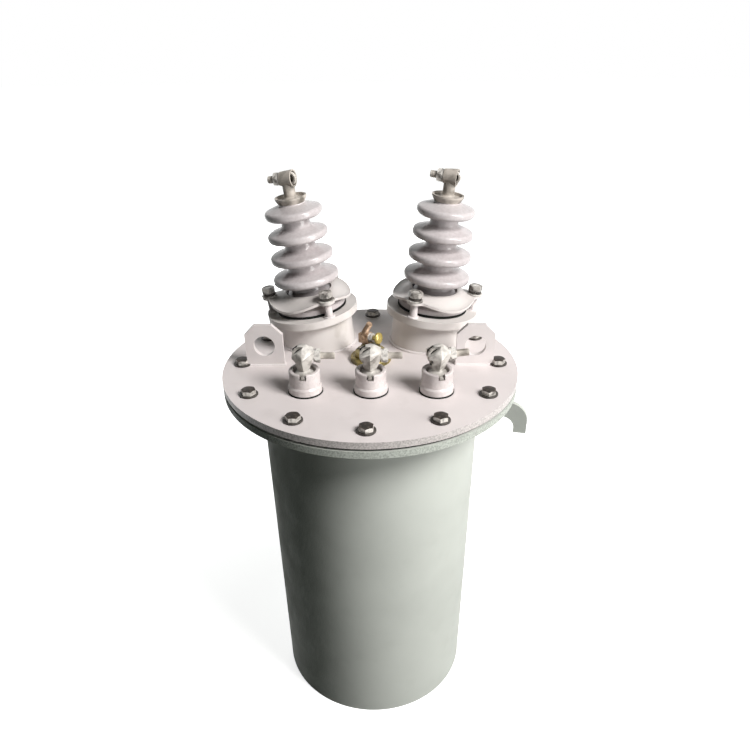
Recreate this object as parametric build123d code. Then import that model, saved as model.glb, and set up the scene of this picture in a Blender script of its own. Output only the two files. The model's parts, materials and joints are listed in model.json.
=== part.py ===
from build123d import *
from math import cos, hypot, pi
import os

# Pole mounted distribution transformer in a round oil tank. The lid is bolted down on a
# gasket and carries two leaning high voltage bushings, a row of three low voltage
# bushings, two lifting eyes and a small brass fitting. Millimetres, Z up, origin at the
# middle of the tank's underside, front toward -Y.

os.makedirs("parts", exist_ok=True)

# tank and its rim
tank_radius = 164.0
tank_wall = 4.0
base_thickness = 6.0
lid_top = 607.0
rim_overhang = 53.0
lid_thickness = 10.0
gasket_thickness = 4.0
gasket_inset = 4.0
flange_thickness = 10.0
bolt_edge = 27.0
bolt_count = 12
bolt_hole_radius = 7.0

# lifting eyes, standing across the lid left and right
eye_edge = 34.75
eye_width = 55.5
eye_height = 63.0
eye_thickness = 8.0
eye_chamfer = 15.0
eye_hole_radius = 15.5
eye_hole_height = 30.5

# rope hooks under the rim, one on each side, turned a little from the sides
hook_turn = 12.0
hook_thickness = 8.0
hook_overhang = 74.0
hook_drop = 40.0
hook_length = 49.0
hook_root_width = 24.0
hook_tip_width = 19.0
hook_outer_bend = 30.0
hook_inner_bend = 18.0

# high voltage turrets: leaning pipes with a ring on top that takes three studs
turret_offset = 87.0
turret_shift = 2.5
turret_rear_offset = 90.0
left_lean = 7.2
right_lean = 5.8
turret_radius = 58.0
turret_wall = 5.0
turret_height = 45.0
ring_radius = 70.0
ring_thickness = 11.0
seat_bore_radius = 36.0
stud_circle_radius = 62.0
stud_radius = 6.0
stud_count = 3
stud_turn = 30.5
stud_height = 38.5

# high voltage porcelain, measured along its own axis
seal_thickness = 3.5
seal_radius = 53.5
foot_radius = 52.5
foot_edge = 7.0
shoulder_radius = 33.0
shoulder_height = 22.5
throat_height = 28.0
neck_base_radius = 27.0
neck_top_radius = 19.0
neck_round = 5.0
shed_count = 4
shed_first = 103.5
shed_pitch = 31.5
shed_base_radius = 49.8
shed_top_radius = 41.8
shed_rim = 11.0
shed_rise = 7.5
shed_undercut = 2.0
porcelain_top = 212.0
spigot_radius = 32.0
spigot_length = 36.0

# pressed clamp ring: flat round the shoulder, raised at the studs, drooping between them
clamp_thickness = 3.5
clamp_bore_radius = 35.0
clamp_petal_radius = 63.0
clamp_ear_radius = 11.5
clamp_seat_fit = 0.1
clamp_ear_rise = -3.0
clamp_petal_drop = 12.5
clamp_blend = 7.0

# high voltage terminal: dished cap, post and a slotted head lying across the axis
cap_radius = 22.9
cap_foot_radius = 19.0
cap_height = 9.0
cap_rim = 2.5
cap_recess = 3.5
post_radius = 8.5
post_flare = 3.5
hv_turn = 18.0
hv_head_rise = 23.5
hv_head_back_radius = 9.5
hv_head_mouth_radius = 11.5
hv_head_back = 9.2
hv_head_front = 10.0
hv_recess_radius = 9.2
hv_recess_depth = 5.0
hv_eye_offset = 5.5
hv_eye_radius = 8.8
hv_bolt_reach = 29.0

# low voltage bushings
lv_pitch = 90.7
lv_shift = 3.5
lv_front_offset = 84.0
lv_count = 3
lv_seal_thickness = 2.0
lv_seal_radius = 24.3
lv_foot_radius = 23.4
lv_foot_height = 8.0
lv_collar_radius = 21.3
lv_collar_top = 33.5
lv_rim_round = 2.0
lv_recess_radius = 15.5
lv_recess_depth = 10.0
lv_notch_width = 9.4
lv_notch_depth = 8.0
lv_spigot_radius = 15.0
lv_spigot_length = 22.0
spigot_fit = 0.5

# low voltage terminal: flared foot, neck and a six-sided slotted head
lv_foot_clearance = 1.0
lv_foot_thickness = 5.0
lv_neck_flats = 14.0
lv_head_flats = 28.5
lv_peak_flats = 11.0
lv_head_bottom = 33.0
lv_head_widest = 52.0
lv_head_shoulder = 61.5
lv_head_top = 68.0
lv_groove_radius = 4.5
lv_groove_offset = 13.0
lv_groove_drop = 6.5
lv_bolt_height = 53.5
lv_tab_width = 5.0
lv_tab_thickness = 4.0
lv_eye_offset = 1.3
lv_eye_radius = 13.2
lv_bolt_reach = 43.0
last_turn = 14.0

# eyebolts: a flat ring that slides in the head's slot, and a shank that takes the nut
bolt_radius = 5.0
eye_ring_width = 3.2
eye_ring_thickness = 5.0
eye_slot_width = 8.6
eye_tooth_count = 16
eye_tooth_depth = 0.8
slide_fit = 0.4

# brass fitting in the middle of the lid, its upper parts turned toward the front
fitting_x = 1.0
fitting_y = 16.0
fitting_turn = 36.0
fitting_base_radius = 30.5
fitting_base_height = 7.0
fitting_groove = 2.0
fitting_step_radius = 23.5
fitting_step_height = 8.0
fitting_body_radius = 15.0
fitting_body_height = 11.0
fitting_dome_round = 5.8
fitting_block_offset = -9.0
fitting_block_width = 17.0
fitting_block_depth = 14.0
fitting_block_height = 15.0
fitting_side_height = 9.2
fitting_boss_radius = 3.6
fitting_boss_length = 3.0
fitting_rod_offset = -12.0
fitting_rod_radius = 3.9
fitting_rod_length = 18.5
fitting_rod_lean = 32.0
fitting_rod_sunk = 5.0
fitting_stem_radius = 3.5
fitting_stem_length = 13.0
fitting_knob_radius = 8.5
fitting_knob_edge = 2.5
fitting_knob_dome = 3.0

# what follows from the sizes above
rim_radius = tank_radius + rim_overhang
bolt_circle_radius = rim_radius - bolt_edge
eye_offset = rim_radius - eye_edge - eye_width / 2
hook_reach = tank_radius + hook_overhang
hook_top = lid_top - hook_drop
lid_bottom = lid_top - lid_thickness
flange_top = lid_bottom - gasket_thickness
tank_inner_radius = tank_radius - tank_wall
ring_top = turret_height + ring_thickness
porcelain_bottom = ring_top + seal_thickness
foot_top = porcelain_bottom + foot_edge
shoulder_top = porcelain_bottom + shoulder_height
throat = porcelain_bottom + throat_height
shoulder_slope = (shoulder_top - foot_top) / (foot_radius - shoulder_radius)
clamp_seat = foot_top + shoulder_slope * (foot_radius - clamp_bore_radius)
clamp_top = clamp_seat + clamp_thickness + clamp_seat_fit
cap_top = porcelain_top + cap_height
hv_head_height = cap_top + hv_head_rise
lv_floor = lv_collar_top - lv_recess_depth
fitting_top = fitting_base_height + fitting_step_height + fitting_body_height

standing = (Align.CENTER, Align.CENTER, Align.MIN)


def disc(radius, height, z=0.0):
    return Pos(0, 0, z) * Cylinder(radius, height, align=standing)


def tube(outer, inner, height, z=0.0):
    return disc(outer, height, z) - disc(inner, height + 2, z - 1)


def around(count, radius, turn=0.0):
    # places on a circle, counted from the front toward the right
    return [
        Rot(0, 0, turn + 360.0 * step / count) * Pos(0, -radius, 0) for step in range(count)
    ]


def spun(points, rounded=None):
    # solid of revolution from an outline given as (radius, height) points
    face = make_face(Plane.XZ * Polyline(*points, close=True))
    if rounded:
        for pick, size in rounded:
            corners = [v for v in face.vertices() if pick(v.X, v.Z)]
            face = fillet(corners, size)
    return revolve(face, Axis.Z)


def save(name, shape):
    export_step(shape, "parts/" + name + ".step")


# tank and rim

def bolt_holes(thickness, z):
    return [place * disc(bolt_hole_radius, thickness + 2, z - 1)
            for place in around(bolt_count, bolt_circle_radius)]


def tank_shell():
    return tube(tank_radius, tank_inner_radius, flange_top)


def tank_base():
    return disc(tank_inner_radius, base_thickness)


def tank_flange():
    z = flange_top - flange_thickness
    ring = tube(rim_radius, tank_radius, flange_thickness, z)
    return ring - bolt_holes(flange_thickness, z)


def lid_gasket():
    ring = tube(rim_radius - gasket_inset, tank_inner_radius, gasket_thickness, flange_top)
    return ring - bolt_holes(gasket_thickness, flange_top)


def lid_plate():
    plate = disc(rim_radius, lid_thickness, lid_bottom)
    plate -= bolt_holes(lid_thickness, lid_bottom)
    for side in (-1, 1):
        plate -= turret_place(side) * disc(seat_bore_radius, 6 * lid_thickness, -4 * lid_thickness)
    for place in lv_places():
        plate -= place * disc(lv_spigot_radius + spigot_fit, lid_thickness + 2, -lid_thickness - 1)
    return plate


def lifting_eye(side):
    outline = Pos(0, eye_height / 2) * Rectangle(eye_width, eye_height)
    corners = outline.vertices().group_by(Axis.Y)[-1]
    outline = chamfer(corners, eye_chamfer)
    outline -= Pos(0, eye_hole_height) * Circle(eye_hole_radius)
    plate = extrude(Plane.XZ * outline, eye_thickness / 2, both=True)
    return Pos(side * eye_offset, 0, lid_top) * plate


def side_hook(side):
    # flame cut plate: straight out from the tank, then rounded down to a blunt tip
    tip_bottom = hook_top - hook_length
    throat_x = hook_reach - hook_tip_width
    throat_z = hook_top - hook_root_width
    outline = make_face(Polyline(
        (tank_radius, hook_top), (hook_reach, hook_top), (hook_reach, tip_bottom),
        (throat_x, tip_bottom), (throat_x, throat_z), (tank_radius, throat_z), close=True))
    outer = [v for v in outline.vertices() if v.X > throat_x + 1 and v.Y > throat_z]
    outline = fillet(outer, hook_outer_bend)
    inner = [v for v in outline.vertices() if abs(v.X - throat_x) < 0.1 and abs(v.Y - throat_z) < 0.1]
    outline = fillet(inner, hook_inner_bend)
    plate = extrude(Plane.XZ * outline, hook_thickness / 2, both=True)
    turn = -hook_turn if side > 0 else 180.0 - hook_turn
    return Rot(0, 0, turn) * plate


# high voltage side

def turret_place(side):
    lean = right_lean if side > 0 else -left_lean
    return Pos(side * turret_offset + turret_shift, turret_rear_offset, lid_top) * Rot(0, lean, 0)


def stud_spots(side):
    return around(stud_count, stud_circle_radius, -side * stud_turn)


def turret_pipe(side):
    # the pipe is cut off level where it meets the lid
    place = turret_place(side)
    pipe = place * tube(turret_radius, turret_radius - turret_wall, 2 * turret_height, -turret_height)
    span = 4 * turret_radius
    below = Pos(side * turret_offset + turret_shift, turret_rear_offset, lid_top) * Box(
        span, span, span, align=(Align.CENTER, Align.CENTER, Align.MAX))
    return pipe - below


def turret_ring(side):
    ring = tube(ring_radius, seat_bore_radius, ring_thickness, turret_height)
    return turret_place(side) * ring


def hv_seal(side):
    return turret_place(side) * tube(seal_radius, seat_bore_radius, seal_thickness, ring_top)


def shed_radius(step):
    return shed_base_radius + (shed_top_radius - shed_base_radius) * step / (shed_count - 1)


def neck_radius(height):
    share = (height - throat) / (porcelain_top - throat)
    return neck_base_radius + (neck_top_radius - neck_base_radius) * share


def hv_porcelain(side):
    # foot and shoulder under the clamp, then a slightly tapered neck with rounded sheds
    half_rim = shed_rim / 2
    points = [(0, porcelain_bottom - spigot_length), (spigot_radius, porcelain_bottom - spigot_length),
              (spigot_radius, porcelain_bottom), (foot_radius, porcelain_bottom),
              (foot_radius, foot_top), (shoulder_radius, shoulder_top),
              (neck_radius(throat), throat)]
    for step in range(shed_count):
        middle = shed_first + shed_pitch * step
        under = middle - half_rim + shed_undercut
        over = middle + half_rim + shed_rise
        points += [(neck_radius(under), under), (shed_radius(step), middle - half_rim),
                   (shed_radius(step), middle + half_rim), (neck_radius(over), over)]
    points += [(neck_radius(porcelain_top), porcelain_top), (0, porcelain_top)]
    rims = (lambda x, z: x > shed_top_radius - 1 and z > shoulder_top, half_rim * 0.9)
    necks = (lambda x, z: neck_top_radius + 0.2 < x < neck_base_radius + 1
             and throat + 1 < z < porcelain_top - 4, neck_round)
    return turret_place(side) * spun(points, [rims, necks])


def clamp_height(x, y):
    # the edge rises at each stud and droops half way between, as a cosine of three waves
    radius = max(hypot(x, y), 1.0)
    reach = (radius - clamp_bore_radius) / (clamp_petal_radius - clamp_bore_radius)
    reach = min(max(reach, 0.0), 1.0)
    ease = reach * reach * (3 - 2 * reach)
    ahead = -y / radius
    wave = 4 * ahead ** 3 - 3 * ahead
    middle = (clamp_ear_rise - clamp_petal_drop) / 2
    swing = (clamp_ear_rise + clamp_petal_drop) / 2
    return ease * (middle + swing * wave)


def hv_clamp(side):
    pitch = 4.0
    half = int((stud_circle_radius + clamp_ear_radius) / pitch) + 2
    rows = [pitch * step for step in range(-half, half + 1)]
    grid = [[Vector(x, y, clamp_height(x, y)) for y in rows] for x in rows]
    blank = extrude(Face.make_surface_from_array_of_points(grid, tol=0.03),
                    clamp_thickness, dir=(0, 0, -1))
    ears = around(stud_count, stud_circle_radius)
    outline = Circle(clamp_petal_radius) + [spot * Circle(clamp_ear_radius) for spot in ears]
    corners = outline.vertices().filter_by(lambda v: abs(hypot(v.X, v.Y) - clamp_petal_radius) < 0.1)
    corners = [v for v in corners if min(
        abs(hypot(v.X - e.position.X, v.Y - e.position.Y) - clamp_ear_radius) for e in ears) < 0.1]
    outline = fillet(corners, clamp_blend)
    outline -= Circle(clamp_bore_radius)
    outline -= [spot * Circle(stud_radius + 1) for spot in ears]
    span = 2 * (clamp_petal_drop + clamp_thickness + clamp_ear_rise)
    clamp = blank & extrude(Pos(0, 0, -span) * outline, 2 * span)
    return turret_place(side) * (Pos(0, 0, clamp_top) * Rot(0, 0, -side * stud_turn) * clamp)


def hv_studs(side):
    stud = disc(stud_radius, stud_height, ring_top)
    return Compound(children=[turret_place(side) * spot * stud for spot in stud_spots(side)])


def eye_ring(radius):
    # flat ring with a toothed outer edge, standing across the wire's way
    ring = Circle(radius) - Circle(radius - eye_ring_width)
    for step in range(eye_tooth_count):
        turn = 360.0 * (step + 0.5) / eye_tooth_count
        ring -= Rot(0, 0, turn) * Pos(radius + eye_tooth_depth * 0.6, 0) * Rot(0, 0, 45) * Rectangle(
            2 * eye_tooth_depth, 2 * eye_tooth_depth)
    return extrude(Plane.XZ * ring, eye_ring_thickness / 2, both=True)


def eyebolt(radius, offset, reach):
    # the ring's middle is offset from the post toward -X and the shank runs toward +X
    start = -offset + radius - eye_ring_width / 2
    shank = Pos(start, 0, 0) * Rot(0, 90, 0) * disc(bolt_radius, reach - start)
    shank -= Pos(-offset, 0, 0) * Rot(90, 0, 0) * Cylinder(
        radius - eye_ring_width / 2, 4 * radius)
    return Pos(-offset, 0, 0) * eye_ring(radius) + shank


def eye_slot(radius, offset):
    pocket = Pos(-offset, 0, 0) * Rot(90, 0, 0) * Cylinder(radius + slide_fit, eye_slot_width)
    mouth = Pos(-offset, 0, 0) * Box(4 * radius, eye_slot_width, 2 * (radius + slide_fit),
                                     align=(Align.MAX, Align.CENTER, Align.CENTER))
    bore = Rot(0, 90, 0) * disc(bolt_radius + slide_fit, 4 * radius)
    return pocket + mouth + bore


def hv_terminal_place(side):
    return turret_place(side) * Rot(0, 0, -hv_turn)


def hv_terminal(side):
    cap_edge = cap_top - cap_rim
    cap = spun([(0, porcelain_top), (cap_foot_radius, porcelain_top),
                (cap_radius, cap_edge), (cap_radius, cap_top),
                (cap_radius - cap_rim, cap_top), (cap_radius - cap_rim - 1, cap_top - cap_recess),
                (post_radius + post_flare, cap_top - cap_recess),
                (post_radius, cap_top - cap_recess + post_flare),
                (post_radius, hv_head_height), (0, hv_head_height)],
               [(lambda x, z: x > cap_foot_radius and abs(z - cap_edge) < 0.1, cap_rim)])
    barrel = spun([(0, -hv_head_back), (hv_head_back_radius, -hv_head_back),
                   (hv_head_mouth_radius, hv_head_front), (hv_recess_radius, hv_head_front),
                   (hv_recess_radius, hv_head_front - hv_recess_depth),
                   (0, hv_head_front - hv_recess_depth)])
    middle = Pos(0, 0, hv_head_height)
    recess = middle * Rot(0, 90, 0) * disc(hv_recess_radius, 2 * hv_recess_depth, hv_head_front - hv_recess_depth)
    body = cap - recess + middle * Rot(0, 90, 0) * barrel
    return hv_terminal_place(side) * (body - middle * Rot(0, 0, 180) * eye_slot(hv_eye_radius, hv_eye_offset))


def hv_eyebolt(side):
    bolt = eyebolt(hv_eye_radius, hv_eye_offset, hv_bolt_reach)
    return hv_terminal_place(side) * Pos(0, 0, hv_head_height) * Rot(0, 0, 180) * bolt


# low voltage side

def lv_places():
    # the last terminal was tightened a little out of line
    first = lv_shift - lv_pitch * (lv_count - 1) / 2
    turns = [0.0] * (lv_count - 1) + [last_turn]
    return [Pos(first + lv_pitch * step, -lv_front_offset, lid_top) * Rot(0, 0, turns[step])
            for step in range(lv_count)]


def lv_seal(place):
    return place * tube(lv_seal_radius, lv_spigot_radius, lv_seal_thickness)


def lv_porcelain(place):
    # stepped collar with a recess for the terminal's foot and a notch for its tab
    step_top = lv_seal_thickness + lv_foot_height
    body = spun([(0, -lv_spigot_length), (lv_spigot_radius, -lv_spigot_length),
                 (lv_spigot_radius, lv_seal_thickness), (lv_foot_radius, lv_seal_thickness),
                 (lv_foot_radius, step_top), (lv_collar_radius, step_top + 2.5),
                 (lv_collar_radius, lv_collar_top), (lv_recess_radius, lv_collar_top),
                 (lv_recess_radius, lv_floor), (0, lv_floor)],
                [(lambda x, z: z > lv_collar_top - 0.1, lv_rim_round)])
    wall = lv_collar_radius - lv_recess_radius
    notch = Pos(0, -lv_collar_radius - 1, lv_collar_top - lv_notch_depth) * Box(
        lv_notch_width, wall + 3, lv_notch_depth + 1, align=(Align.CENTER, Align.MIN, Align.MIN))
    return place * (body - notch)


def hexagon(flats, z):
    # flats toward the sides, one ridge toward the front
    return Pos(0, 0, z) * RegularPolygon(flats / 2, 6, major_radius=False, rotation=30)


def lv_terminal(place):
    # turned foot under a tapered six-sided head with a groove that the wire lies in
    foot = lv_recess_radius - lv_foot_clearance
    turned = spun([(0, lv_floor), (foot, lv_floor), (foot, lv_floor + lv_foot_thickness),
                   (lv_neck_flats / 2, lv_head_bottom), (0, lv_head_bottom)])
    head = loft([hexagon(lv_neck_flats, lv_head_bottom), hexagon(lv_head_flats, lv_head_widest),
                 hexagon(lv_head_flats, lv_head_shoulder), hexagon(lv_peak_flats, lv_head_top)], ruled=True)
    tab_bottom = lv_collar_top - lv_notch_depth
    tab = Pos(0, -foot + 2, tab_bottom) * Box(
        lv_tab_width, lv_collar_radius - foot + 1, lv_tab_thickness, align=(Align.CENTER, Align.MAX, Align.MIN))
    groove = Pos(-lv_groove_offset, 0, lv_bolt_height - lv_groove_drop) * Rot(90, 0, 0) * Cylinder(
        lv_groove_radius, 2 * lv_head_flats)
    body = turned + (head - groove) + tab
    return place * (body - Pos(0, 0, lv_bolt_height) * eye_slot(lv_eye_radius, lv_eye_offset))


def lv_eyebolt(place):
    return place * Pos(0, 0, lv_bolt_height) * eyebolt(lv_eye_radius, lv_eye_offset, lv_bolt_reach)


# brass fitting

def fitting_place():
    return Pos(fitting_x, fitting_y, lid_top)


def fitting_base():
    # two turned steps with a groove between them
    step_top = fitting_base_height + fitting_step_height
    neck = fitting_step_radius - fitting_groove
    return fitting_place() * spun([
        (0, 0), (fitting_base_radius, 0), (fitting_base_radius, fitting_base_height - 1.5),
        (fitting_base_radius - 1.5, fitting_base_height), (neck, fitting_base_height),
        (neck, fitting_base_height + fitting_groove),
        (fitting_step_radius, fitting_base_height + fitting_groove),
        (fitting_step_radius, step_top - 1.5), (fitting_step_radius - 1.5, step_top), (0, step_top)])


def fitting_body():
    bottom = fitting_base_height + fitting_step_height
    shoulder = (lambda x, z: x > 0.1 and z > bottom + 0.1, fitting_dome_round)
    return fitting_place() * spun([
        (0, bottom), (fitting_body_radius, bottom), (fitting_body_radius, fitting_top), (0, fitting_top)],
        [shoulder])


def fitting_block():
    block = Pos(fitting_block_offset, 0, fitting_top) * Box(
        fitting_block_width, fitting_block_depth, fitting_block_height, align=standing)
    block = chamfer(block.edges().group_by(Axis.Z)[-1], 1.5)
    boss = Pos(fitting_block_offset, -fitting_block_depth / 2, fitting_top + fitting_side_height)
    block += boss * Rot(90, 0, 0) * disc(fitting_boss_radius, fitting_boss_length)
    return fitting_place() * Rot(0, 0, -fitting_turn) * block


def fitting_rod():
    seat = fitting_top + fitting_block_height
    place = Pos(fitting_rod_offset, 0, seat) * Rot(0, fitting_rod_lean, 0)
    rod = place * disc(fitting_rod_radius, fitting_rod_length + fitting_rod_sunk, -fitting_rod_sunk)
    span = 4 * fitting_block_width
    below = Pos(fitting_rod_offset, 0, seat) * Box(span, span, span, align=(Align.CENTER, Align.CENTER, Align.MAX))
    return fitting_place() * Rot(0, 0, -fitting_turn) * (rod - below)


def fitting_knob():
    # stem out of the block with a domed disc on its end
    start = fitting_block_offset + fitting_block_width / 2
    edge = fitting_stem_length + fitting_knob_edge
    turned = spun([(0, 0), (fitting_stem_radius, 0), (fitting_stem_radius, fitting_stem_length),
                   (fitting_knob_radius, fitting_stem_length), (fitting_knob_radius, edge),
                   (fitting_knob_radius / 2, edge + fitting_knob_dome), (0, edge + fitting_knob_dome)])
    return fitting_place() * Rot(0, 0, -fitting_turn) * Pos(
        start, 0, fitting_top + fitting_side_height) * Rot(0, 90, 0) * turned


save("tank_shell", tank_shell())
save("tank_base", tank_base())
save("tank_flange", tank_flange())
save("lid_gasket", lid_gasket())
save("lid_plate", lid_plate())

for side, hand in ((-1, "left"), (1, "right")):
    save("lifting_eye_" + hand, lifting_eye(side))
    save("side_hook_" + hand, side_hook(side))
    save("hv_turret_" + hand, turret_pipe(side))
    save("hv_turret_ring_" + hand, turret_ring(side))
    save("hv_seal_" + hand, hv_seal(side))
    save("hv_porcelain_" + hand, hv_porcelain(side))
    save("hv_clamp_" + hand, hv_clamp(side))
    save("hv_studs_" + hand, hv_studs(side))
    save("hv_terminal_" + hand, hv_terminal(side))
    save("hv_eyebolt_" + hand, hv_eyebolt(side))

for place, hand in zip(lv_places(), ("left", "middle", "right")):
    save("lv_seal_" + hand, lv_seal(place))
    save("lv_porcelain_" + hand, lv_porcelain(place))
    save("lv_terminal_" + hand, lv_terminal(place))
    save("lv_eyebolt_" + hand, lv_eyebolt(place))

save("fitting_base", fitting_base())
save("fitting_body", fitting_body())
save("fitting_block", fitting_block())
save("fitting_rod", fitting_rod())
save("fitting_knob", fitting_knob())
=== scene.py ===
import bpy
import bmesh
import json
import random
from math import cos, sin, tan, pi, radians
from mathutils import Vector, Matrix


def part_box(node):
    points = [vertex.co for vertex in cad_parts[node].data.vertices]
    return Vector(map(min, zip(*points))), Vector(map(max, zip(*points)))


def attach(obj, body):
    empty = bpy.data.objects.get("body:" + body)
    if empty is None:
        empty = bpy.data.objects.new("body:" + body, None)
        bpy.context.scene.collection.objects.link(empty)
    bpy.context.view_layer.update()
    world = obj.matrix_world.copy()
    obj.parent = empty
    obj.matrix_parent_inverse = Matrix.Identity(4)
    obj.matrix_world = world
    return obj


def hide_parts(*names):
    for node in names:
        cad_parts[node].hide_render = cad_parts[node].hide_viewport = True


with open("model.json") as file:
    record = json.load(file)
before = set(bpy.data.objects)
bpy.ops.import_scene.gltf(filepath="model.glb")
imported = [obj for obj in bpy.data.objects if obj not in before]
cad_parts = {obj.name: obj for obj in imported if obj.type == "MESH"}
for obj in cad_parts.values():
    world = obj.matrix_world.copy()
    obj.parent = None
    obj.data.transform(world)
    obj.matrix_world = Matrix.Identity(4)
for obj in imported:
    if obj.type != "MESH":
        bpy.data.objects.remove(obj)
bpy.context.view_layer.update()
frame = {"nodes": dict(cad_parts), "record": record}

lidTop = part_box("lid_plate")[1].z
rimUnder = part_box("tank_flange")[0].z
scene = bpy.context.scene
print("frame loaded,", len(frame["nodes"]), "nodes")


# camera, fitted to the lid's bolt circle, the rim and the tank outline with a small shift

cameraSettings = {
    "place": (0.0295, -0.8946, 1.0450),
    "toward": (-0.022172, 0.827356, -0.561241),
    "upward": (-0.001047, 0.561359, 0.827572),
    "lens": 31.754,
    "sensor": 36.0,
    "shiftY": 0.11,
    "clipStart": 0.05,
    "clipEnd": 50.0,
}


def makeCamera(s):
    data = bpy.data.cameras.new("photoCamera")
    camera = bpy.data.objects.new("photoCamera", data)
    scene.collection.objects.link(camera)
    back = -Vector(s["toward"]).normalized()
    right = Vector(s["upward"]).cross(back).normalized()
    up = back.cross(right)
    turn = Matrix((right, up, back)).transposed().to_4x4()
    camera.matrix_world = Matrix.Translation(s["place"]) @ turn
    data.lens = s["lens"]
    data.sensor_width = s["sensor"]
    data.shift_y = s["shiftY"]
    data.clip_start = s["clipStart"]
    data.clip_end = s["clipEnd"]
    scene.camera = camera


makeCamera(cameraSettings)


# node helpers

def freshMaterial(name):
    mat = bpy.data.materials.new(name)
    mat.use_nodes = True
    nodes, links = mat.node_tree.nodes, mat.node_tree.links
    nodes.clear()
    out = nodes.new("ShaderNodeOutputMaterial")
    skin = nodes.new("ShaderNodeBsdfPrincipled")
    links.new(skin.outputs[0], out.inputs["Surface"])
    coords = nodes.new("ShaderNodeTexCoord")
    return mat, nodes, links, skin, coords.outputs["Object"]


def noiseAt(nodes, links, coords, scale, detail, stretch=None):
    if stretch:
        mapping = nodes.new("ShaderNodeMapping")
        mapping.inputs["Scale"].default_value = stretch
        links.new(coords, mapping.inputs["Vector"])
        coords = mapping.outputs[0]
    noise = nodes.new("ShaderNodeTexNoise")
    noise.inputs["Scale"].default_value = scale
    noise.inputs["Detail"].default_value = detail
    links.new(coords, noise.inputs["Vector"])
    return noise.outputs["Fac"]


def ramp(nodes, links, value, low, high, a, b):
    # colour a below low, colour b above high
    node = nodes.new("ShaderNodeValToRGB")
    node.color_ramp.elements[0].position = low
    node.color_ramp.elements[1].position = high
    node.color_ramp.elements[0].color = (*a, 1.0)
    node.color_ramp.elements[1].color = (*b, 1.0)
    links.new(value, node.inputs[0])
    return node.outputs[0]


def remap(nodes, links, value, low, high, a, b):
    # number a below low, number b above high
    node = nodes.new("ShaderNodeMapRange")
    node.inputs["From Min"].default_value = low
    node.inputs["From Max"].default_value = high
    node.inputs["To Min"].default_value = a
    node.inputs["To Max"].default_value = b
    links.new(value, node.inputs["Value"])
    return node.outputs[0]


def combined(nodes, links, operation, first, second=None):
    node = nodes.new("ShaderNodeMath")
    node.operation = operation
    links.new(first, node.inputs[0])
    if second is not None:
        links.new(second, node.inputs[1])
    return node.outputs[0]


def upPart(nodes, links, vector):
    split = nodes.new("ShaderNodeSeparateXYZ")
    links.new(vector, split.inputs[0])
    return split.outputs["Z"]


def plug(links, socket, given):
    # a link for a socket, else a plain number or colour
    if isinstance(given, bpy.types.NodeSocket):
        links.new(given, socket)
    elif isinstance(given, (int, float)):
        socket.default_value = given
    else:
        socket.default_value = (*given, 1.0)


def mixed(nodes, links, factor, a, b, kind="MIX"):
    node = nodes.new("ShaderNodeMix")
    node.data_type = "RGBA"
    node.blend_type = kind
    plug(links, node.inputs[0], factor)
    plug(links, node.inputs[6], a)
    plug(links, node.inputs[7], b)
    return node.outputs[2]


def bumpFrom(nodes, links, skin, value, height, strength, below=None):
    bump = nodes.new("ShaderNodeBump")
    bump.inputs["Distance"].default_value = height
    bump.inputs["Strength"].default_value = strength
    links.new(value, bump.inputs["Height"])
    if below is not None:
        links.new(below, bump.inputs["Normal"])
    links.new(bump.outputs[0], skin.inputs["Normal"])
    return bump.outputs[0]


def shade(colour, factor):
    return tuple(c * factor for c in colour)


def seenOver(nodes, links, lighting, shown):
    # the shown shader for camera, mirror and see-through rays, the lighting one for the rest
    path = nodes.new("ShaderNodeLightPath").outputs
    seen = combined(nodes, links, "MAXIMUM", path["Is Camera Ray"], path["Is Glossy Ray"])
    seen = combined(nodes, links, "MAXIMUM", seen, path["Is Transmission Ray"])
    mix = nodes.new("ShaderNodeMixShader")
    links.new(seen, mix.inputs[0])
    links.new(lighting, mix.inputs[1])
    links.new(shown, mix.inputs[2])
    return mix.outputs[0]


# lights: a soft key from the right, a low one further round it and a broad low one from behind

lightSettings = {
    "aim": (0.0, 0.0, 0.45),
    "key": {
        "azimuth": 54.0, "height": 46.0, "distance": 2.6, "size": 1.1,
        "power": 76.0, "colour": (1.0, 0.985, 0.97),
    },
    "side": {
        "azimuth": 62.0, "height": 9.0, "distance": 2.6, "size": 1.3,
        "power": 38.0, "colour": (1.0, 0.99, 0.97),
    },
    "rear": {
        "azimuth": 188.0, "height": 2.5, "distance": 3.0, "size": 1.6,
        "power": 62.0, "colour": (0.97, 1.0, 0.98),
    },
    "worldColour": (0.72, 1.0, 0.78),
    "worldLevel": 0.026,
    "worldShown": (1.0, 1.0, 1.0),
}


def makeLamp(name, aim, s):
    # azimuth counts from the front toward the right
    azimuth, height = radians(s["azimuth"]), radians(s["height"])
    away = Vector((sin(azimuth) * cos(height), -cos(azimuth) * cos(height), sin(height)))
    data = bpy.data.lights.new(name, "AREA")
    data.shape = "DISK"
    data.size = s["size"]
    data.energy = s["power"]
    data.color = s["colour"]
    lamp = bpy.data.objects.new(name, data)
    scene.collection.objects.link(lamp)
    lamp.location = Vector(aim) + away * s["distance"]
    lamp.rotation_mode = "QUATERNION"
    lamp.rotation_quaternion = away.to_track_quat("Z", "Y")
    return lamp


def backgroundOf(nodes, colour, strength):
    node = nodes.new("ShaderNodeBackground")
    node.inputs["Color"].default_value = (*colour, 1.0)
    node.inputs["Strength"].default_value = strength
    return node.outputs[0]


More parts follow.
